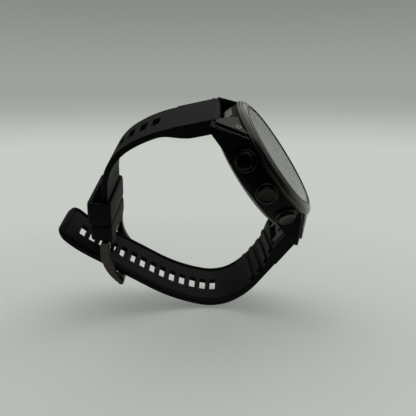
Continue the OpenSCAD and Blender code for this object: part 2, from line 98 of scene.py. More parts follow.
def addWorld():
    world = bpy.data.worlds.new("paleStudio")
    bpy.context.scene.world = world
    world.use_nodes = True
    nodes = world.node_tree.nodes
    links = world.node_tree.links
    nodes.clear()
    out = nodes.new("ShaderNodeOutputWorld")
    coord = nodes.new("ShaderNodeTexCoord")
    rise = nodes.new("ShaderNodeVectorMath")
    rise.operation = "DOT_PRODUCT"
    rise.inputs[1].default_value = worldUp
    ramp = nodes.new("ShaderNodeValToRGB")
    ramp.color_ramp.interpolation = "EASE"
    low, high = ramp.color_ramp.elements
    low.position = studio["hazeAt"]
    low.color = (*studio["haze"], 1)
    high.position = studio["shadeAt"]
    high.color = (*studio["shade"], 1)
    half = ramp.color_ramp.elements.new(studio["horizonAt"])
    half.color = (*studio["horizon"], 1)
    shift = nodes.new("ShaderNodeMath")
    shift.operation = "MULTIPLY_ADD"          # from -1..1 to 0..1
    shift.inputs[1].default_value = 0.5
    shift.inputs[2].default_value = 0.5
    seen = nodes.new("ShaderNodeBackground")
    around = nodes.new("ShaderNodeBackground")
    around.inputs["Color"].default_value = studio["fillTone"]
    rays = nodes.new("ShaderNodeLightPath")
    anyDirect = nodes.new("ShaderNodeMath")
    anyDirect.operation = "MAXIMUM"
    anySharp = nodes.new("ShaderNodeMath")
    anySharp.operation = "MAXIMUM"
    mix = nodes.new("ShaderNodeMixShader")
    front = nodes.new("ShaderNodeVectorMath")
    front.operation = "DOT_PRODUCT"
    front.inputs[1].default_value = Vector(studio["darkSide"]).normalized()
    dim = nodes.new("ShaderNodeMapRange")
    dim.interpolation_type = "SMOOTHSTEP"
    for label, value in studio["dimming"].items():
        dim.inputs[label].default_value = value
    lit = nodes.new("ShaderNodeMath")
    lit.operation = "MULTIPLY"
    lit.inputs[1].default_value = studio["fill"]
    for source, target in (
            (coord.outputs["Generated"], front.inputs[0]),
            (front.outputs["Value"], dim.inputs["Value"]),
            (dim.outputs[0], lit.inputs[0]),
            (lit.outputs[0], around.inputs["Strength"]),
            (dim.outputs[0], seen.inputs["Strength"]),
            (coord.outputs["Generated"], rise.inputs[0]),
            (rise.outputs["Value"], shift.inputs[0]),
            (shift.outputs[0], ramp.inputs[0]),
            (ramp.outputs[0], seen.inputs["Color"]),
            (rays.outputs["Is Camera Ray"], anyDirect.inputs[0]),
            (rays.outputs["Is Glossy Ray"], anyDirect.inputs[1]),
            (anyDirect.outputs[0], anySharp.inputs[0]),
            (rays.outputs["Is Transmission Ray"], anySharp.inputs[1]),
            (anySharp.outputs[0], mix.inputs[0]),
            (around.outputs[0], mix.inputs[1]),
            (seen.outputs[0], mix.inputs[2]),
            (mix.outputs[0], out.inputs["Surface"])):
        links.new(source, target)


addCamera()
addWorld()
addSoftbox("topLight", worldUp + Vector((0.2, 0, 0)), 0.45, 0.7, 0.95)
addSoftbox("farLight", (0.85, -0.1, 0.5), 0.5, 0.3, 0.16)
bpy.context.scene.view_settings.view_transform = "Standard"
print("camera and light ready")

# ---------- shared effects ----------


def newGroup(name, inputs, outputs):
    tree = bpy.data.node_groups.new(name, "ShaderNodeTree")
    for label, kind, value in inputs:
        socket = tree.interface.new_socket(label, in_out="INPUT", socket_type=kind)
        if value is not None:
            socket.default_value = value
    for label, kind in outputs:
        tree.interface.new_socket(label, in_out="OUTPUT", socket_type=kind)
    return tree, tree.nodes.new("NodeGroupInput"), tree.nodes.new("NodeGroupOutput")


def addMath(tree, operation, first, second=None):
    node = tree.nodes.new("ShaderNodeMath")
    node.operation = operation
    for place, value in enumerate((first, second)):
        if isinstance(value, (int, float)):
            node.inputs[place].default_value = value
        elif value is not None:
            tree.links.new(value, node.inputs[place])
    return node.outputs[0]


def mixColour(tree, factor, first, second):
    node = tree.nodes.new("ShaderNodeMix")
    node.data_type = "RGBA"
    tree.links.new(factor, node.inputs[0])
    for place, value in ((6, first), (7, second)):
        if isinstance(value, tuple):
            node.inputs[place].default_value = value
        else:
            tree.links.new(value, node.inputs[place])
    return node.outputs[2]


def addNoise(tree, place, **constants):
    noise = tree.nodes.new("ShaderNodeTexNoise")
    for label, value in constants.items():
        noise.inputs[label].default_value = value
    tree.links.new(place, noise.inputs["Vector"])
    return noise


def objectPlace(tree):
    return tree.nodes.new("ShaderNodeTexCoord").outputs["Object"]


def makeGrain():
    inputs = [("Scale", "NodeSocketFloat", 2500.0), ("Tone", "NodeSocketFloat", 0.2),
              ("Roughness", "NodeSocketFloat", 0.5), ("Spread", "NodeSocketFloat", 0.1)]
    outputs = [("Shade", "NodeSocketFloat"), ("Roughness", "NodeSocketFloat"),
               ("Height", "NodeSocketFloat")]
    tree, inside, outside = newGroup("fineGrain", inputs, outputs)
    place = objectPlace(tree)
    fine = addNoise(tree, place, Detail=3)
    broad = addNoise(tree, place, Scale=90, Detail=4)
    tree.links.new(inside.outputs["Scale"], fine.inputs["Scale"])
    centred = addMath(tree, "SUBTRACT", broad.outputs[0], 0.5)
    toned = addMath(tree, "MULTIPLY", centred, inside.outputs["Tone"])
    tree.links.new(addMath(tree, "ADD", toned, 1.0), outside.inputs["Shade"])
    spread = addMath(tree, "MULTIPLY", centred, inside.outputs["Spread"])
    rough = addMath(tree, "ADD", spread, inside.outputs["Roughness"])
    tree.links.new(rough, outside.inputs["Roughness"])
    tree.links.new(fine.outputs[0], outside.inputs["Height"])
    return tree


# Edge mask found with a Bevel node. makeFinish uses it to lay a painted highlight colour along
# edges. It also gives the rounded-edge normal.
def makeEdgeHighlight():
    inputs = [("Radius", "NodeSocketFloat", 0.0002), ("Sharpness", "NodeSocketFloat", 6.0)]
    outputs = [("Mask", "NodeSocketFloat"), ("Normal", "NodeSocketVector")]
    tree, inside, outside = newGroup("edgeWear", inputs, outputs)
    soft = tree.nodes.new("ShaderNodeBevel")
    soft.samples = 6
    true = tree.nodes.new("ShaderNodeNewGeometry")
    dot = tree.nodes.new("ShaderNodeVectorMath")
    dot.operation = "DOT_PRODUCT"
    tree.links.new(inside.outputs["Radius"], soft.inputs["Radius"])
    tree.links.new(soft.outputs[0], dot.inputs[0])
    tree.links.new(true.outputs["Normal"], dot.inputs[1])
    bend = addMath(tree, "SUBTRACT", 1.0, dot.outputs["Value"])
    strong = addMath(tree, "MULTIPLY", bend, inside.outputs["Sharpness"])
    low = addMath(tree, "MAXIMUM", strong, 0.0)
    tree.links.new(addMath(tree, "MINIMUM", low, 1.0), outside.inputs["Mask"])
    tree.links.new(soft.outputs[0], outside.inputs["Normal"])
    return tree


def makeBrushing():
    inputs = [("Lines", "NodeSocketFloat", 2200.0), ("Depth", "NodeSocketFloat", 0.2)]
    outputs = [("Shade", "NodeSocketFloat"), ("Height", "NodeSocketFloat")]
    tree, inside, outside = newGroup("roundBrushing", inputs, outputs)
    split = tree.nodes.new("ShaderNodeSeparateXYZ")
    tree.links.new(objectPlace(tree), split.inputs[0])
    across = addMath(tree, "MULTIPLY", split.outputs[0], split.outputs[0])
    along = addMath(tree, "MULTIPLY", split.outputs[1], split.outputs[1])
    radius = addMath(tree, "SQRT", addMath(tree, "ADD", across, along))
    where = tree.nodes.new("ShaderNodeCombineXYZ")
    tree.links.new(radius, where.inputs[0])
    tree.links.new(split.outputs[2], where.inputs[1])
    lines = addNoise(tree, where.outputs[0], Detail=2)
    tree.links.new(inside.outputs["Lines"], lines.inputs["Scale"])
    centred = addMath(tree, "SUBTRACT", lines.outputs[0], 0.5)
    toned = addMath(tree, "MULTIPLY", centred, inside.outputs["Depth"])
    tree.links.new(addMath(tree, "ADD", toned, 1.0), outside.inputs["Shade"])
    tree.links.new(lines.outputs[0], outside.inputs["Height"])
    return tree


def makeDust():
    inputs = [("Amount", "NodeSocketFloat", 0.4), ("Scale", "NodeSocketFloat", 900.0)]
    outputs = [("Mask", "NodeSocketFloat")]
    tree, inside, outside = newGroup("dustSpecks", inputs, outputs)
    place = objectPlace(tree)
    specks = tree.nodes.new("ShaderNodeTexVoronoi")
    tree.links.new(place, specks.inputs["Vector"])
    tree.links.new(inside.outputs["Scale"], specks.inputs["Scale"])
    patches = addNoise(tree, place, Scale=160)
    near = addMath(tree, "LESS_THAN", specks.outputs["Distance"], 0.16)
    here = addMath(tree, "GREATER_THAN", patches.outputs[0], 0.56)
    both = addMath(tree, "MULTIPLY", near, here)
    tree.links.new(addMath(tree, "MULTIPLY", both, inside.outputs["Amount"]),
                   outside.inputs["Mask"])
    return tree


effects = {"grain": makeGrain(), "wear": makeEdgeHighlight(), "brush": makeBrushing(),
           "dust": makeDust()}

# ---------- materials ----------


def placeEffect(tree, effect, values):
    node = tree.nodes.new("ShaderNodeGroup")
    node.node_tree = effects[effect]
    for label, value in values.items():
        node.inputs[label].default_value = value
    return node


def newMaterial(name):
    material = bpy.data.materials.new(name)
    material.use_nodes = True
    return material, material.node_tree


def makeFinish(name, look):
    material, tree = newMaterial(name)
    shader = tree.nodes["Principled BSDF"]
    grain = placeEffect(tree, "grain", {
        "Scale": look.get("grainScale", 2500.0), "Tone": look.get("tone", 0.2),
        "Roughness": look["roughness"], "Spread": look.get("spread", 0.12)})
    base = tree.nodes.new("ShaderNodeHueSaturation")
    base.inputs["Color"].default_value = (*look["colour"], 1)
    tree.links.new(grain.outputs["Shade"], base.inputs["Value"])
    colour = base.outputs["Color"]
    height = grain.outputs["Height"]
    if "brushDepth" in look:
        brush = placeEffect(tree, "brush", {
            "Lines": look.get("brushLines", 2200.0), "Depth": look["brushDepth"]})
        brushed = tree.nodes.new("ShaderNodeHueSaturation")
        tree.links.new(colour, brushed.inputs["Color"])
        tree.links.new(brush.outputs["Shade"], brushed.inputs["Value"])
        colour = brushed.outputs["Color"]
        height = brush.outputs["Height"]
    wear = None
    # painted highlight: the look's "edge" colour is mixed in along the edges
    if "edge" in look:
        wear = placeEffect(tree, "wear", {"Radius": look.get("edgeHighlightRadius", 0.0001)})
        colour = mixColour(tree, wear.outputs["Mask"], colour, (*look["edge"], 1))
    if "dust" in look:
        dust = placeEffect(tree, "dust", {"Amount": look["dust"]})
        colour = mixColour(tree, dust.outputs["Mask"], colour, (0.35, 0.35, 0.34, 1))
    bump = tree.nodes.new("ShaderNodeBump")
    bump.inputs["Strength"].default_value = look.get("bump", 0.1)
    bump.inputs["Distance"].default_value = look.get("bumpDepth", 0.00004)
    tree.links.new(height, bump.inputs["Height"])
    if wear is not None:
        tree.links.new(wear.outputs["Normal"], bump.inputs["Normal"])
    tree.links.new(bump.outputs[0], shader.inputs["Normal"])
    tree.links.new(colour, shader.inputs["Base Color"])
    tree.links.new(grain.outputs["Roughness"], shader.inputs["Roughness"])
    for label in ("Metallic", "Transmission Weight", "IOR", "Coat Weight", "Coat Roughness",
                  "Sheen Weight", "Sheen Roughness", "Specular IOR Level"):
        if label in look:
            shader.inputs[label].default_value = look[label]
    # painted glow: emission makes the part shine though it is no lamp
    if "paintedGlow" in look:
        shader.inputs["Emission Color"].default_value = (*look["paintedGlow"], 1)
        shader.inputs["Emission Strength"].default_value = look["paintedGlowStrength"]
    return material


# Each "edge" colour below is a painted highlight laid along the part's edges.
finishLooks = {
    "silicone": {"colour": (0.0036, 0.0038, 0.0039), "roughness": 0.62, "grainScale": 3600.0,
                 "bump": 0.16, "tone": 0.5, "dust": 0.1, "Specular IOR Level": 0.12,
                 "edge": (0.034, 0.035, 0.035), "edgeHighlightRadius": 0.00025},
    "caseResin": {"colour": (0.0014, 0.0014, 0.0015), "roughness": 0.44, "grainScale": 5200.0,
                  "bump": 0.2, "edge": (0.03, 0.03, 0.031), "edgeHighlightRadius": 0.00022,
                  "Specular IOR Level": 0.08},
    "bezelMetal": {"colour": (0.060, 0.058, 0.053), "roughness": 0.22, "Metallic": 1.0,
                   "brushDepth": 2.0, "brushLines": 1300.0, "bump": 0.06,
                   "edge": (0.55, 0.53, 0.50)},
    "guardMetal": {"colour": (0.045, 0.043, 0.038), "roughness": 0.38, "Metallic": 1.0,
                   "grainScale": 4200.0, "bump": 0.12, "edge": (0.30, 0.28, 0.26),
                   "edgeHighlightRadius": 0.00018},
    "capMetal": {"colour": (0.024, 0.024, 0.020), "roughness": 0.30, "Metallic": 1.0,
                 "grainScale": 5200.0, "bump": 0.08, "edge": (0.30, 0.29, 0.27)},
    "ringMetal": {"colour": (0.050, 0.048, 0.046), "roughness": 0.40, "Metallic": 1.0,
                  "bump": 0.08, "edge": (0.16, 0.155, 0.15)},
    "buckleMetal": {"colour": (0.056, 0.051, 0.043), "roughness": 0.34, "Metallic": 1.0,
                    "grainScale": 4200.0, "bump": 0.12, "edge": (0.26, 0.24, 0.22),
                    "edgeHighlightRadius": 0.00012},
    "seamBronze": {"colour": (0.034, 0.021, 0.015), "roughness": 0.42, "Metallic": 1.0},
    # painted highlight colour for the ledge line on each lug, far lighter than the case resin
    "lugLedgeHighlight": {"colour": (0.105, 0.103, 0.100), "roughness": 0.42,
                 "Specular IOR Level": 0.5},
    "guardScrew": {"colour": (0.15, 0.145, 0.135), "roughness": 0.30, "Metallic": 1.0},
    "screwSteel": {"colour": (0.50, 0.49, 0.47), "roughness": 0.30, "Metallic": 1.0},
    "plainSteel": {"colour": (0.36, 0.35, 0.34), "roughness": 0.32, "Metallic": 1.0},
    "coverMetal": {"colour": (0.17, 0.165, 0.155), "roughness": 0.34, "Metallic": 1.0,
                   "brushDepth": 0.35, "bump": 0.06, "edge": (0.4, 0.39, 0.37)},
    "latchResin": {"colour": (0.020, 0.020, 0.021), "roughness": 0.42, "bump": 0.1},
    "latchGrey": {"colour": (0.07, 0.07, 0.068), "roughness": 0.42, "Metallic": 1.0,
                  "bump": 0.1, "edge": (0.2, 0.2, 0.19), "edgeHighlightRadius": 0.00012},
    "displayBlack": {"colour": (0.006, 0.0065, 0.0075), "roughness": 0.28, "tone": 0.1,
                     "bump": 0.02},
    # the dial marks and hands carry a painted glow
    "dialPale": {"colour": (0.50, 0.51, 0.49), "roughness": 0.5, "paintedGlow": (0.55, 0.56, 0.53),
                 "paintedGlowStrength": 0.12},
    "dialGreen": {"colour": (0.10, 0.32, 0.22), "roughness": 0.5, "paintedGlow": (0.1, 0.4, 0.26),
                  "paintedGlowStrength": 0.12},
    "innerRing": {"colour": (0.022, 0.023, 0.025), "roughness": 0.42, "brushDepth": 0.4,
                  "brushLines": 3000.0},
    "torchDiffuser": {"colour": (0.26, 0.25, 0.19), "roughness": 0.38, "tone": 0.25,
                      "Coat Weight": 0.3},
    "gasketRubber": {"colour": (0.012, 0.012, 0.012), "roughness": 0.6},
    "sensorGlass": {"colour": (0.010, 0.010, 0.012), "roughness": 0.10, "Coat Weight": 0.5},
    "portResin": {"colour": (0.015, 0.015, 0.016), "roughness": 0.5},
    "contactGold": {"colour": (0.80, 0.60, 0.28), "roughness": 0.25, "Metallic": 1.0},
    "boardGreen": {"colour": (0.02, 0.12, 0.06), "roughness": 0.45, "Coat Weight": 0.3},
    "cellFoil": {"colour": (0.42, 0.43, 0.45), "roughness": 0.4, "Metallic": 0.6},
    "antennaTan": {"colour": (0.50, 0.34, 0.15), "roughness": 0.5},
    "trayGrey": {"colour": (0.05, 0.05, 0.052), "roughness": 0.5},
}
finishes = {name: makeFinish(name, look) for name, look in finishLooks.items()}


def makeGlass():
    material, tree = newMaterial("lensGlass")
    shader = tree.nodes["Principled BSDF"]
    grain = placeEffect(tree, "grain", {
        "Scale": 60.0, "Tone": 0.03, "Roughness": 0.012, "Spread": 0.02})
    shader.inputs["Base Color"].default_value = (0.93, 0.95, 0.95, 1)
    shader.inputs["Transmission Weight"].default_value = 1.0
    shader.inputs["IOR"].default_value = 1.55
    tree.links.new(grain.outputs["Roughness"], shader.inputs["Roughness"])
    return material


finishes["lensGlass"] = makeGlass()


def coverNode(node, finish):
    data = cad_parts[node].data
    data.materials.clear()
    data.materials.append(finishes[finish])


nodeFinishes = {
    "caseResin": ("mid_case",), "lensGlass": ("lens",), "innerRing": ("chapter_ring",),
    "displayBlack": ("display_panel",), "trayGrey": ("display_tray",),
    "boardGreen": ("main_board", "sensor_board", "torch_board"),
    "antennaTan": ("gps_antenna",), "cellFoil": ("battery",), "guardScrew": ("lug_screws",),
    "gasketRubber": ("lens_gasket", "rear_gasket", "button_seals"),
    "coverMetal": ("rear_cover",), "screwSteel": ("rear_cover_screws",),
    "sensorGlass": ("sensor_window",), "contactGold": ("charging_contacts",),
    "portResin": ("charging_port", "button_switches"), "torchDiffuser": ("torch_lens",),
    "plainSteel": ("vibration_motor", "button_bushings", "button_springs", "lug_pin_12",
                   "lug_pin_6", "latch_springs_12", "latch_springs_6", "buckle_pin"),
    "latchResin": ("latch_plate_12", "latch_plate_6"),
    "latchGrey": ("latch_slider_12", "latch_slider_6"),
}
for finish, nodes in nodeFinishes.items():
    for node in nodes:
        coverNode(node, finish)
print("finishes ready")

# ---------- making pieces ----------


def addPiece(name, mesh, finish, body, stands=()):
    piece = newObject(name, mesh)
    mesh.materials.append(finishes[finish])
    for face in mesh.polygons:
        face.use_smooth = True
    mesh.set_sharp_from_angle(angle=math.radians(30))
    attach(piece, body)
    if stands:
        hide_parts(*stands)
    return piece


def roundEdges(piece, width, segments=3, angle=32, byWeight=False):
    bevel = piece.modifiers.new("roundedEdges", "BEVEL")
    bevel.width = width * mm
    bevel.segments = segments
    bevel.limit_method = "WEIGHT" if byWeight else "ANGLE"
    bevel.angle_limit = math.radians(angle)
    bevel.use_clamp_overlap = not byWeight
    bevel.harden_normals = True
    bevel.miter_outer = "MITER_ARC"


def storeMesh(build, name):
    mesh = bpy.data.meshes.new(name)
    build.to_mesh(mesh)
    build.free()
    return mesh


def finishMesh(build, name):
    bmesh.ops.remove_doubles(build, verts=build.verts, dist=1e-7)
    bmesh.ops.recalc_face_normals(build, faces=build.faces)
    return storeMesh(build, name)


def turnedMesh(name, profile, flats=128, place=None):
    build = bmesh.new()                      # a closed profile of radius and height, in mm
    rings = []
    for step in range(flats):
        angle = 2 * math.pi * step / flats
        rings.append([build.verts.new((r * mm * math.cos(angle), r * mm * math.sin(angle),
                                       h * mm)) for r, h in profile])
    count = len(profile)
    onAxis = [r < 1e-6 for r, h in profile]
    for step in range(flats):
        here = rings[step]
        ahead = rings[(step + 1) % flats]
        for i in range(count):
            k = (i + 1) % count
            turned = [ahead[n] for n in (i, k) if not onAxis[n]]
            if turned:
                build.faces.new([here[i], *turned, here[k]])
    if place is not None:
        build.transform(place)
    return finishMesh(build, name)


def crossMesh(name, outline, fromX, toX):
    build = bmesh.new()                      # an outline seen from 9 o'clock, drawn across
    sides = [[build.verts.new((x * mm, y * mm, z * mm)) for y, z in outline]
             for x in (fromX, toX)]
    count = len(outline)
    for i in range(count):
        k = (i + 1) % count
        build.faces.new((sides[0][i], sides[0][k], sides[1][k], sides[1][i]))
    build.faces.new(sides[0])
    build.faces.new(sides[1][::-1])
    return finishMesh(build, name)


def copyMesh(node, name):
    build = bmesh.new()
    build.from_mesh(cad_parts[node].data)
    bmesh.ops.remove_doubles(build, verts=build.verts, dist=2e-6)
    bmesh.ops.dissolve_limit(build, angle_limit=math.radians(0.6), verts=build.verts,
                             edges=build.edges)
    return finishMesh(build, name)


def squareTube(build, rows):
    for here, ahead in zip(rows, rows[1:]):
        for k in range(4):
            n = (k + 1) % 4
            build.faces.new((here[k], here[n], ahead[n], ahead[k]))
    build.faces.new(rows[0])
    build.faces.new(rows[-1][::-1])


def merged(name, meshes):
    build = bmesh.new()
    for mesh in meshes:
        build.from_mesh(mesh)
        bpy.data.meshes.remove(mesh)
    return storeMesh(build, name)


# ---------- bezel, buttons and lugs ----------

bezelTurning = {
    "base": [(23.3, 10.9), (24.2, 10.9), (24.5, 11.05), (24.62, 11.25), (24.66, 11.95),
             (23.3, 11.95)],
    "profile": [(19.6, 10.9), (23.3, 10.9), (23.3, 11.88), (24.62, 11.88), (24.78, 11.98),
                (24.8, 12.2), (24.62, 12.34), (24.5, 12.4), (24.3, 12.88), (24.22, 13.0),
                (23.98, 13.05), (23.88, 13.08), (23.62, 13.46), (23.5, 13.56), (23.22, 13.6),
                (23.1, 13.62), (22.5, 13.96), (22.35, 14.04), (21.75, 14.08),
                (21.6, 14.0), (21.45, 14.06), (21.35, 14.16), (21.22, 14.16), (21.22, 12.3),
                (19.6, 12.3)],
    "seal": [(20.8, 12.4), (21.22, 12.4), (21.22, 14.2), (21.12, 14.29), (20.96, 14.28),
             (20.8, 14.08)],
    "rounding": 0.06, "flats": 180,
}
for name, part, finish in (("bezelRings", "profile", "bezelMetal"),
                           ("bezelBase", "base", "seamBronze")):
    ring = addPiece(name, turnedMesh(name, bezelTurning[part], bezelTurning["flats"]),
                    finish, "case", ("bezel",))
    roundEdges(ring, bezelTurning["rounding"], 2, 18)
addPiece("glassSeal", turnedMesh("glassSeal", bezelTurning["seal"], bezelTurning["flats"]),
         "gasketRubber", "case")

buttons = {
    "height": 6.9,
    "cap": [(0, 19.75), (1.5, 19.75), (1.5, 20.2), (1.05, 20.3), (1.05, 25.25), (2.75, 25.25),
            (3.1, 25.55), (3.1, 26.4), (2.86, 26.68), (2.62, 26.7), (2.42, 26.58),
            (2.2, 26.5), (1.2, 26.42), (0, 26.4)],
    "guard": [(2.26, 22.66), (3.94, 22.66), (3.94, 25.2), (3.78, 25.46), (3.58, 25.5),
              (3.42, 25.38), (3.4, 24.38), (2.26, 24.38)],
    "places": {"light": 149.7, "up": 180, "down": 210.3, "start": 30.3, "back": -30.3},
    "flats": 64, "capRounding": 0.06, "guardRounding": 0.08,
}


def outwardAt(angle):
    lift = Matrix.Translation((0, 0, buttons["height"] * mm))
    return lift @ Matrix.Rotation(math.radians(angle), 4, "Z") @ Matrix.Rotation(
        math.radians(90), 4, "Y")


guardRings = []
for label, angle in buttons["places"].items():
    capMesh = turnedMesh("cap_" + label, buttons["cap"], buttons["flats"], outwardAt(angle))
    cap = addPiece("cap_" + label, capMesh, "capMetal", "button_" + label,
                   ("button_" + label,))
    roundEdges(cap, buttons["capRounding"], 2, 25)
    guardRings.append(turnedMesh("guard", buttons["guard"], buttons["flats"],
                                 outwardAt(angle)))
guard = addPiece("buttonGuards", merged("buttonGuards", guardRings), "ringMetal", "case",
                 ("button_guards",))
roundEdges(guard, buttons["guardRounding"], 2, 25)

lugFace = {"turn": 63.9, "tilt": 41.8, "far": 25, "railRounding": 0.08,
           "plateRounding": 0.16}
lugRails = (                                  # lines on the lug under each plate's lower edge
    {"name": "lugSeams", "finish": "seamBronze", "low": -1.0, "high": -0.82,
     "in": 0.3, "out": 0.7,
     "edge": ((9.2, -7.3), (10, -6.9), (13.8, -4.7), (17.8, -2.5), (19.75, -1.5))},
    # the ledge line is coloured much lighter than the case: a painted highlight
    {"name": "lugLedgeHighlights", "finish": "lugLedgeHighlight", "low": -1.25, "high": -0.78,
     "in": 0.25, "out": 0.08,
     "edge": ((8.8, -8.55), (11.4, -7.5), (15.8, -4.9), (19.4, -2.9), (20.0, -2.0))},
)


def railMesh(spec, flipX, flipY):
    build = bmesh.new()
    edge = [Vector(p) for p in spec["edge"]]
    place = Matrix.Rotation(math.radians(lugFace["turn"]), 4, "Z") @ Matrix.Rotation(
        math.radians(lugFace["tilt"]), 4, "Y") @ Matrix.Translation((0, 0, lugFace["far"]))
    rows = []
    for k, p in enumerate(edge):
        along = (edge[min(k + 1, len(edge) - 1)] - edge[max(k - 1, 0)]).normalized()
        out = Vector((along.y, -along.x))
        row = []
        for side, level in ((-spec["in"], spec["low"]), (spec["out"], spec["low"]),
                            (spec["out"], spec["high"]), (-spec["in"], spec["high"])):
            q = p + out * side
            v = place @ Vector((q.x, q.y, level))
            row.append(build.verts.new((v.x * flipX * mm, v.y * flipY * mm, v.z * mm)))
        rows.append(row)
    squareTube(build, rows)
    return finishMesh(build, spec["name"])


for spec in lugRails:
    rails = merged(spec["name"], [railMesh(spec, fx, fy) for fx in (-1, 1) for fy in (-1, 1)])
    rail = addPiece(spec["name"], rails, spec["finish"], "case")
    roundEdges(rail, lugFace["railRounding"], 2, 40)

for corner in ("12_left", "12_right", "6_left", "6_right"):
    node = "lug_guard_" + corner
    plate = addPiece("lugPlate_" + corner, copyMesh(node, "lugPlate"), "guardMetal", "case",
                     (node,))
    roundEdges(plate, lugFace["plateRounding"], 2, 35)
print("case pieces ready")

# ---------- dial ----------

dial = {
    "level": 10.83,
    "hourMark": (15.6, 17.6, 0.42),          # from, to and half width
    "shortMark": (16.7, 17.6, 0.16),
    "hourHand": (1.2, 9.0, 0.55, 305),
    "minuteHand": (1.2, 14.4, 0.38, 60),
    "ringMark": (18.95, 19.4, 0.09),
    "ringLevel": (11.9, 12.42),
    "barThick": 0.03, "handLift": 0.04,
}


def flatBar(build, near, far, half, angle, lowLevel, highLevel):
    turn = Matrix.Rotation(math.radians(90 - angle), 3, "Z")
    corners = []
    for level in (lowLevel, lowLevel + dial["barThick"]):
        for along, aside in ((near, -half), (far, -half), (far, half), (near, half)):
            rise = 0 if along == near else highLevel - lowLevel
            point = turn @ Vector((along, aside, 0))
            corners.append(build.verts.new((point.x * mm, point.y * mm, (level + rise) * mm)))
    for face in ((3, 2, 1, 0), (4, 5, 6, 7), (0, 1, 5, 4), (1, 2, 6, 5), (2, 3, 7, 6),
                 (3, 0, 4, 7)):
        build.faces.new([corners[i] for i in face])


marks = bmesh.new()
for minute in range(60):
    kind = "hourMark" if minute % 5 == 0 else "shortMark"
    near, far, half = dial[kind]
    flatBar(marks, near, far, half, minute * 6, dial["level"], dial["level"])
    near, far, half = dial["ringMark"]
    low, high = dial["ringLevel"]
    flatBar(marks, near, far, half * (2 if minute % 5 == 0 else 1), minute * 6, low, high)
addPiece("dialMarks", finishMesh(marks, "dialMarks"), "dialPale", "case")

hands = bmesh.new()
for label in ("hourHand", "minuteHand"):
    near, far, half, angle = dial[label]
    level = dial["level"] + dial["handLift"]
    flatBar(hands, near, far, half, angle, level, level)
addPiece("dialHands", finishMesh(hands, "dialHands"), "dialGreen", "case")
print("dial ready")

# ---------- band ----------

band = {
    "pinY": 26.6, "pinZ": 3.6, "pinDepth": 2.1,
    "width": 26.0, "tailWidth": 22.8, "taperLow": -72.0,
    "rootThick": 5.3, "thick": 2.6, "rootFlat": 8.0, "rootEnd": 21.0,
    "buckleStart": -67.0,
    "buckleBends": ((15.5, 0), (17, -20), (22, -55), (22.5, 0)),
    "holeStart": -70.0,
    "holeBends": ((26, 0), (12, -20), (16, -46), (22, -21), (28, 0), (15.5, -20)),
    "step": 1.5, "clearOfMarks": 0.45,        # between rows, and from a plain row to a mark
    "edgeRound": 0.62, "holeRound": 0.26,
    "noseThick": 4.2, "noseBlend": 1.6,       # from the round end up to the full thickness
    "rimReach": 20.0, "edgeReach": 19.0,      # a cell that reaches past 19 is the band's rim
    "rimRoom": 1.4, "columnRoom": 0.35,       # least widths kept for the rim and a column
}


def heading(angle):
    return Vector((math.cos(math.radians(angle)), math.sin(math.radians(angle))))


class BandPath:
    def __init__(self, start, bends, side):
        self.start = start
        self.bends = bends
        self.side = side                      # 1 towards 12 o'clock, -1 towards 6
        self.length = sum(bend[0] for bend in bends)

    def place(self, s):
        at = Vector((band["pinY"], band["pinZ"])) + band["pinDepth"] * heading(self.start + 90)
        angle = self.start
        if s < 0:
            return at + s * heading(angle), angle
        for index, (length, turn) in enumerate(self.bends):
            last = index == len(self.bends) - 1
            part = s if last or s <= length else length
            bend = turn * part / length
            if turn == 0:
                at = at + part * heading(angle)
            else:
                r = math.degrees(length / turn)
                at = at + r * Vector((
                    math.sin(math.radians(angle + bend)) - math.sin(math.radians(angle)),
                    math.cos(math.radians(angle)) - math.cos(math.radians(angle + bend))))
            angle += bend
            if part == s:
                break
            s -= length
        return at, angle

    def point(self, s, depth, x):
        at, angle = self.place(s)             # depth is how far under the outer face
        at = at - depth * heading(angle + 90)
        return Vector((x * mm, self.side * at.x * mm, at.y * mm))


def bandThick(s):
    if s <= band["rootFlat"]:
        return band["rootThick"]
    if s >= band["rootEnd"]:
        return band["thick"]
    part = (s - band["rootFlat"]) / (band["rootEnd"] - band["rootFlat"])
    extra = band["rootThick"] - band["thick"]
    return band["thick"] + extra * (1 + math.cos(math.pi * part)) / 2


def taperHalf(path, s):
    level = path.place(s)[0].y
    part = min(max(level / band["taperLow"], 0), 1)
    return (band["width"] + (band["tailWidth"] - band["width"]) * part) / 2


def noseLevels(s):
    bulge = math.sqrt(max(band["pinDepth"] ** 2 - s ** 2, 0))
    return band["pinDepth"] - bulge, band["pinDepth"] + bulge


def rowsFor(length, marks):
    rows = [-band["pinDepth"] * math.sin(math.radians(90 - 12 * i)) for i in range(8)]
    count = math.ceil(length / band["step"])
    rows += [length * i / count for i in range(count + 1)]
    clear = band["clearOfMarks"]
    rows = [s for s in rows if all(abs(s - mark) > clear for mark in marks)] + list(marks)
    return sorted(set(round(s, 4) for s in rows))


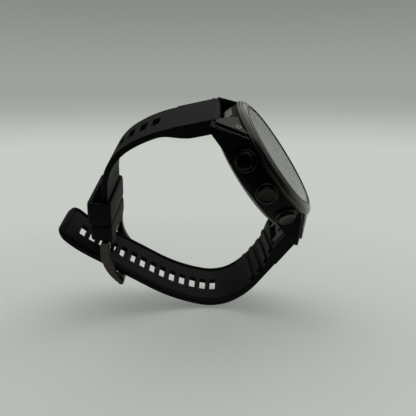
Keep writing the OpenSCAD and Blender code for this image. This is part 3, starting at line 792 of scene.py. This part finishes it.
def steppedBand(name, path, rows, columns, levels, isOpen, halfAt):
    build = bmesh.new()       # levels(corner, middle, reach) gives the outer and inner depth
    weight = build.edges.layers.float.new("bevel_weight_edge")
    cellRows = len(rows) - 1
    cellColumns = len(columns) * 2 - 1

    def acrossAt(i, j):
        half = halfAt(rows[i])
        index = abs(j - (len(columns) - 0.5)) - 0.5
        rank = int(index)
        sign = -1 if j < len(columns) else 1
        offset = columns[rank]
        if offset[0] == "edge":
            return sign * (half - offset[1])
        room = half - band["rimRoom"] - band["columnRoom"] * (len(columns) - 1 - rank)
        return sign * min(offset[1], room)

    def cell(i, j):
        if i < 0 or j < 0 or i >= cellRows or j >= cellColumns:
            return None
        middle = (rows[i] + rows[i + 1]) / 2
        rank = abs(j - (cellColumns - 1) // 2)
        kind, size = columns[rank]            # reach: from the middle line to the cell's end,
        reach = size - 0.1                    # or 20 less the distance to the band's edge
        if kind == "edge":
            reach = band["rimReach"] - size
        return None if isOpen(middle, reach) else (middle, reach)

    def cellLevels(i, j, corner):
        middle, reach = cell(i, j)
        return tuple(round(v, 4) for v in levels(rows[corner], middle, reach))

    stacks = {}
    for i in range(cellRows):
        for j in range(cellColumns):
            if cell(i, j) is None:
                continue
            for ci in (i, i + 1):
                for cj in (j, j + 1):
                    stacks.setdefault((ci, cj), set()).update(cellLevels(i, j, ci))
    points = {}

    def vert(i, j, level):
        key = (i, j, level)
        if key not in points:
            points[key] = build.verts.new(path.point(rows[i], level, acrossAt(i, j)))
        return points[key]

    def between(i, j, first, last):
        low, high = min(first, last), max(first, last)
        steps = sorted(v for v in stacks[(i, j)] if low <= v <= high)
        return steps if first <= last else steps[::-1]

    def wall(a, b, spanA, spanB):
        ring = [vert(*a, v) for v in between(*a, *spanA)]
        ring += [vert(*b, v) for v in between(*b, *spanB)[::-1]]
        ring = [v for k, v in enumerate(ring) if v is not ring[k - 1]]
        if len(ring) < 3:
            return
        try:
            build.faces.new(ring)
        except ValueError:
            return

    for i in range(cellRows):
        for j in range(cellColumns):
            here = cell(i, j)
            if here is not None:
                corners = ((i, j), (i + 1, j), (i + 1, j + 1), (i, j + 1))
                for side in (0, 1):
                    ring = [vert(*c, cellLevels(i, j, c[0])[side]) for c in corners]
                    build.faces.new(ring if side == 0 else ring[::-1])
    edges = [((i, j), (i + 1, j), (i, j - 1), (i, j))
             for i in range(cellRows) for j in range(cellColumns + 1)]
    edges += [((i, j), (i, j + 1), (i - 1, j), (i, j))
              for i in range(cellRows + 1) for j in range(cellColumns)]
    for a, b, one, two in edges:
        sides = [c for c in (one, two) if cell(*c) is not None]
        if len(sides) == 1:
            la, lb = cellLevels(*sides[0], a[0]), cellLevels(*sides[0], b[0])
            if la[0] != la[1] or lb[0] != lb[1]:
                wall(a, b, la, lb)
        elif len(sides) == 2:
            for face in (0, 1):
                spanA = [cellLevels(*c, a[0])[face] for c in sides]
                spanB = [cellLevels(*c, b[0])[face] for c in sides]
                if spanA[0] != spanA[1] or spanB[0] != spanB[1]:
                    wall(a, b, spanA, spanB)
    bmesh.ops.remove_doubles(build, verts=build.verts, dist=1e-7)
    bmesh.ops.recalc_face_normals(build, faces=build.faces)
    for edge in build.edges:
        if len(edge.link_faces) != 2 or edge.calc_face_angle(0) < math.radians(32):
            continue
        sizes = []
        for face in edge.link_faces:
            lean = [e.calc_length() for e in face.edges
                    if e is not edge and (set(e.verts) & set(edge.verts))]
            sizes.append(min(lean))
        middle = (edge.verts[0].co + edge.verts[1].co) / 2
        outermost = abs(middle.x) / mm > 10.2 and abs(
            abs(edge.verts[0].co.x) - abs(edge.verts[1].co.x)) < 0.8 * mm
        wanted = band["edgeRound"] if outermost else band["holeRound"]
        room = 0.42 * min(sizes) / mm
        edge[weight] = min(wanted, room) / band["edgeRound"]
    return storeMesh(build, name)


latchPocket = {"half": 9.2, "end": 10.0, "roof": 3.3, "pinHalf": 1.1, "pinRoof": 1.0}


def rootLevels(corner, middle, reach, inner):
    outer = 0.0
    if corner < 0:
        outer, inner = noseLevels(corner)
    elif corner < band["noseBlend"]:
        part = corner / band["noseBlend"]
        inner = band["noseThick"] + (inner - band["noseThick"]) * part
    if abs(middle) < latchPocket["pinHalf"]:
        inner = max(latchPocket["pinRoof"], outer + 0.02)
    elif middle < latchPocket["end"] and reach < latchPocket["half"]:
        inner = min(inner, latchPocket["roof"])
    return outer, inner


buckleSide = {
    "windows": [22.1 + 5.3 * i for i in range(4)], "windowLength": 3.2, "windowHalf": 4.0,
    "stepAt": 14.6, "stepDepth": 0.3,
    "hubFrom": 2.8, "hubHalf": 3.1,
    "barDepth": 1.3, "endRound": 2.1,
}
bucklePath = BandPath(band["buckleStart"], band["buckleBends"], 1)
buckleColumns = (("at", buckleSide["hubHalf"]), ("at", buckleSide["windowHalf"]),
                 ("at", latchPocket["half"]), ("edge", 1.4), ("edge", 0.0))


def buckleSideLevels(corner, middle, reach):
    outer, inner = rootLevels(corner, middle, reach, bandThick(corner))
    if middle > buckleSide["stepAt"]:
        outer += buckleSide["stepDepth"]
    end = corner - bucklePath.length
    if abs(end) <= buckleSide["endRound"]:
        bulge = math.sqrt(max(buckleSide["endRound"] ** 2 - end ** 2, 0))
        if end > 0 or bulge > buckleSide["barDepth"] - outer:
            outer = buckleSide["barDepth"] - bulge
        if end > 0 or bulge + buckleSide["barDepth"] > inner:
            inner = buckleSide["barDepth"] + bulge
    return outer, inner


def buckleSideOpen(middle, reach):
    inWindow = any(abs(middle - at) < buckleSide["windowLength"] / 2
                   for at in buckleSide["windows"])
    inHub = middle > bucklePath.length - buckleSide["hubFrom"]
    return (inWindow and reach < buckleSide["windowHalf"]) or (
        inHub and reach < buckleSide["hubHalf"])


rootMarks = [-latchPocket["pinHalf"], latchPocket["pinHalf"], band["noseBlend"],
             latchPocket["end"]]
buckleMarks = rootMarks + [buckleSide["stepAt"], bucklePath.length - buckleSide["hubFrom"]]
for at in buckleSide["windows"]:
    buckleMarks += [at - buckleSide["windowLength"] / 2, at + buckleSide["windowLength"] / 2]
buckleMarks += [bucklePath.length + buckleSide["endRound"] * math.sin(math.radians(a))
                for a in (-52, -38, -24, -10, 4, 18, 32, 46, 60, 74, 90)]
buckleRows = rowsFor(bucklePath.length, buckleMarks)
strapTop = addPiece("strapBuckleSide", steppedBand(
    "strapBuckleSide", bucklePath, buckleRows, buckleColumns, buckleSideLevels,
    buckleSideOpen, lambda s: taperHalf(bucklePath, s)),
    "silicone", "band_12", ("strap_buckle_side",))
roundEdges(strapTop, band["edgeRound"], 3, byWeight=True)

holeSide = {
    "slots": [119.5 - 9.5 - 4.7 * i for i in range(14)], "slotLength": 2.6, "slotHalf": 3.3,
    "recessFrom": 36.0, "recessDepth": 0.3, "tipRim": 1.5, "tipRound": 5.0,
    "grooveDepth": 0.75, "grooveWide": 0.8, "rim": 1.2,
    "stepAt": 14.6, "stepDepth": 0.3,
    "ribs": [13.9, 18.7, 23.5, 28.3], "ribWidth": 2.6, "ribHeight": 0.9, "ribSlant": 0.2,
    "ribDraft": 0.25, "ribSunk": 0.4, "ribHalf": 10.9, "ribRounding": 0.2,
}
holePath = BandPath(band["holeStart"], band["holeBends"], -1)


def holeSideHalf(s):
    half = taperHalf(holePath, s)
    past = s - (holePath.length - holeSide["tipRound"])
    if past <= 0:
        return half
    r = holeSide["tipRound"]
    return half - r + math.sqrt(max(r * r - past * past, 0))


holeColumns = (("at", holeSide["slotHalf"]), ("at", latchPocket["half"]),
               ("edge", holeSide["rim"] + holeSide["grooveWide"]), ("edge", holeSide["rim"]),
               ("edge", 0.0))


def holeSideLevels(corner, middle, reach):
    outer, inner = rootLevels(corner, middle, reach, bandThick(corner))
    if middle > holeSide["stepAt"]:
        outer += holeSide["stepDepth"]
    tip = holePath.length - holeSide["tipRim"]
    if holeSide["recessFrom"] < middle < tip and reach < band["edgeReach"]:
        nearTip = middle > tip - holeSide["grooveWide"]
        inGroove = nearTip or reach > band["edgeReach"] - holeSide["grooveWide"]
        inner -= holeSide["grooveDepth" if inGroove else "recessDepth"]
    return outer, inner


def holeSideOpen(middle, reach):
    return reach < holeSide["slotHalf"] and any(
        abs(middle - at) < holeSide["slotLength"] / 2 for at in holeSide["slots"])


holeMarks = rootMarks + [holeSide["stepAt"], holeSide["recessFrom"],
                         holePath.length - holeSide["tipRim"],
                         holePath.length - holeSide["tipRim"] - holeSide["grooveWide"]]
for at in holeSide["slots"]:
    holeMarks += [at - holeSide["slotLength"] / 2, at + holeSide["slotLength"] / 2]
holeMarks += [holePath.length - holeSide["tipRound"] * (1 - math.sin(math.radians(a)))
              for a in (0, 15, 45, 60, 75, 84, 90)]
holeRows = rowsFor(holePath.length, holeMarks)


def slantedRib(path, middleAt, name):
    build = bmesh.new()
    steps = 16
    halfRib = holeSide["ribWidth"] / 2
    crest = halfRib - holeSide["ribDraft"]
    section = ((-halfRib, -holeSide["ribSunk"]), (-crest, holeSide["ribHeight"]),
               (crest, holeSide["ribHeight"]), (halfRib, -holeSide["ribSunk"]))
    rows = []
    for i in range(steps + 1):
        x = holeSide["ribHalf"] * (2 * i / steps - 1)
        row = []
        for along, rise in section:
            s = middleAt + holeSide["ribSlant"] * x + along
            row.append(build.verts.new(path.point(s, bandThick(s) + rise, x)))
        rows.append(row)
    squareTube(build, rows)
    return finishMesh(build, name)


strapLow = addPiece("strapHoleSide", steppedBand(
    "strapHoleSide", holePath, holeRows, holeColumns, holeSideLevels,
    holeSideOpen, holeSideHalf), "silicone", "band_6", ("strap_hole_side",))
roundEdges(strapLow, band["edgeRound"], 3, byWeight=True)
ribs = addPiece("strapRibs", merged("strapRibs", [
    slantedRib(holePath, at, "rib") for at in holeSide["ribs"]]), "silicone", "band_6")
roundEdges(ribs, holeSide["ribRounding"], 3)
print("band ready")

# ---------- keepers and buckle ----------

keepers = {
    "wall": 1.05, "width": 25.4, "outerRound": 1.7, "innerRound": 0.7, "rounding": 0.32,
    "slack": 0.15,
    "crown": ((0.0, 0.16), (0.18, 0.0), (0.82, 0.0), (1.0, 0.16)),   # part along, less high
    "sliding": {"at": 59.2, "length": 9.0, "gap": 4.2, "pad": 0.7},
    "fixed": {"at": 69.0, "length": 6.0, "gap": 3.4, "pad": 1.2},
}


def roundedLoop(wide, high, r, count=6):
    points = []
    for cx, cy, start in ((1, 1, 0), (-1, 1, 90), (-1, -1, 180), (1, -1, 270)):
        for k in range(count + 1):
            turn = math.radians(start + 90 * k / count)
            points.append(Vector((cx * (wide / 2 - r) + r * math.cos(turn),
                                  cy * (high / 2 - r) + r * math.sin(turn))))
    return points


def keeperMesh(name, spec):
    build = bmesh.new()
    under = band["thick"] + keepers["slack"]
    high = spec["gap"] + under
    middle = (spec["gap"] - under) / 2
    at, angle = bucklePath.place(spec["at"])
    place = Matrix.Translation((0, at.x * mm, at.y * mm)) @ Matrix.Rotation(
        math.radians(angle), 4, "X")
    wall = keepers["wall"]
    loops = []
    for part, less in keepers["crown"]:
        outer = roundedLoop(keepers["width"] + 2 * wall - 2 * less, high + 2 * wall - 2 * less,
                            keepers["outerRound"])
        loops.append([build.verts.new(place @ Vector((
            p.x * mm, part * spec["length"] * mm, (p.y + middle) * mm))) for p in outer])
    for part in (1.0, 0.0):
        inner = roundedLoop(keepers["width"], high - spec["pad"], keepers["innerRound"])
        loops.append([build.verts.new(place @ Vector((
            p.x * mm, part * spec["length"] * mm, (p.y + middle - spec["pad"] / 2) * mm)))
            for p in inner])
    count = len(loops[0])
    for k, loop in enumerate(loops):
        ahead = loops[(k + 1) % len(loops)]
        for i in range(count):
            n = (i + 1) % count
            build.faces.new((loop[i], loop[n], ahead[n], ahead[i]))
    return finishMesh(build, name)


for kind, body in (("sliding", "keeper"), ("fixed", "band_12")):
    name = "keeper" + kind.capitalize()
    loop = addPiece(name, keeperMesh(name, keepers[kind]), "silicone", body,
                    ("keeper_" + kind,))
    roundEdges(loop, keepers["rounding"], 3, 40)

buckle = {
    "bar": Vector((11.0866, -58.4149)), "bow": Vector((-5.061, -64.057)),
    "armIn": 12.6, "armOut": 14.9, "bulge": 2.2, "hub": 2.0, "bowRound": 1.1,
    "rounding": 0.42, "bowDeep": 2.5, "bowInto": 0.5, "tongueRounding": 0.25,
}


def arcPoints(middle, r, start, end, count):
    return [middle + r * heading(start + (end - start) * k / count) for k in range(count + 1)]


def armOutline():
    reach = buckle["bow"] - buckle["bar"]
    out = Vector((-reach.y, reach.x)).normalized()
    lean = math.degrees(math.atan2(reach.y, reach.x))
    steps = 20
    middle = []
    half = []
    for k in range(steps + 1):
        t = k / steps
        middle.append(buckle["bar"] + t * reach + 4 * buckle["bulge"] * t * (1 - t) * out)
        half.append(buckle["hub"] + (buckle["bowRound"] - buckle["hub"]) * t)
    upper = [middle[k] + half[k] * out for k in range(1, steps)]
    lower = [middle[k] - half[k] * out for k in range(steps - 1, 0, -1)]
    nose = arcPoints(buckle["bow"], buckle["bowRound"], lean + 90, lean - 90, 8)
    heel = arcPoints(buckle["bar"], buckle["hub"], lean - 90, lean - 270, 12)
    return upper + nose + lower + heel


outline = armOutline()
frameParts = [crossMesh("arm", outline, side * buckle["armIn"], side * buckle["armOut"])
              for side in (-1, 1)]
bowOutline = arcPoints(buckle["bow"], buckle["bowRound"], 0, 345, 23)
towardsBar = (buckle["bar"] - buckle["bow"]).normalized()
bowOutline = [p + towardsBar * buckle["bowDeep"] * max((p - buckle["bow"]).dot(towardsBar), 0)
              for p in bowOutline]
bowHalf = buckle["armIn"] + buckle["bowInto"]
frameParts.append(crossMesh("bow", bowOutline, -bowHalf, bowHalf))
buckleFrame = addPiece("buckleFrame", merged("buckleFrame", frameParts), "buckleMetal",
                       "frame", ("buckle_frame",))
roundEdges(buckleFrame, buckle["rounding"], 4, 40)

tongue = addPiece("buckleTongue", copyMesh("buckle_tongue", "buckleTongue"), "buckleMetal",
                  "tongue", ("buckle_tongue",))
roundEdges(tongue, buckle["tongueRounding"], 3, 40)
print("buckle ready")

# ---------- floor ----------

floor = {"radius": 0.34, "clear": 0.0004, "fadeFrom": 0.05, "fadeTo": 0.21, "lift": 0.19,
         "liftTone": (0.95, 1.0, 0.94, 1)}


def addFloor():
    low = min(worldUp.dot(v.co) for v in strapLow.data.vertices)
    middle = Vector((0, 0, -0.03))
    middle -= worldUp * (worldUp.dot(middle) - low + floor["clear"])
    build = bmesh.new()
    bmesh.ops.create_circle(build, cap_ends=True, segments=96, radius=floor["radius"])
    mesh = storeMesh(build, "studioFloor")
    plane = newObject("studioFloor", mesh)
    turn = worldUp.to_track_quat("Z", "Y").to_matrix().to_4x4()
    plane.matrix_world = Matrix.Translation(middle) @ turn
    material, tree = newMaterial("paleFloor")
    tree.nodes.clear()
    out = tree.nodes.new("ShaderNodeOutputMaterial")
    coord = tree.nodes.new("ShaderNodeTexCoord")
    length = tree.nodes.new("ShaderNodeVectorMath")
    length.operation = "LENGTH"
    fade = tree.nodes.new("ShaderNodeMapRange")
    fade.interpolation_type = "SMOOTHSTEP"
    fade.inputs["From Min"].default_value = floor["fadeFrom"]
    fade.inputs["From Max"].default_value = floor["fadeTo"]
    paper = tree.nodes.new("ShaderNodeBsdfDiffuse")
    paper.inputs["Color"].default_value = (*studio["floorTone"], 1)
    lift = tree.nodes.new("ShaderNodeEmission")
    lift.inputs["Color"].default_value = floor["liftTone"]
    rays = tree.nodes.new("ShaderNodeLightPath")
    sharp = addMath(tree, "MAXIMUM", rays.outputs["Is Camera Ray"],
                    rays.outputs["Is Glossy Ray"])
    tree.links.new(addMath(tree, "MULTIPLY", sharp, floor["lift"]), lift.inputs["Strength"])
    both = tree.nodes.new("ShaderNodeAddShader")
    clear = tree.nodes.new("ShaderNodeBsdfTransparent")
    behind = tree.nodes.new("ShaderNodeNewGeometry")
    amount = addMath(tree, "MAXIMUM", fade.outputs[0], behind.outputs["Backfacing"])
    mix = tree.nodes.new("ShaderNodeMixShader")
    for source, target in (
            (coord.outputs["Object"], length.inputs[0]),
            (length.outputs["Value"], fade.inputs["Value"]), (amount, mix.inputs[0]),
            (paper.outputs[0], both.inputs[0]), (lift.outputs[0], both.inputs[1]),
            (both.outputs[0], mix.inputs[1]), (clear.outputs[0], mix.inputs[2]),
            (mix.outputs[0], out.inputs["Surface"])):
        tree.links.new(source, target)
    mesh.materials.append(material)


addFloor()
print("floor ready")
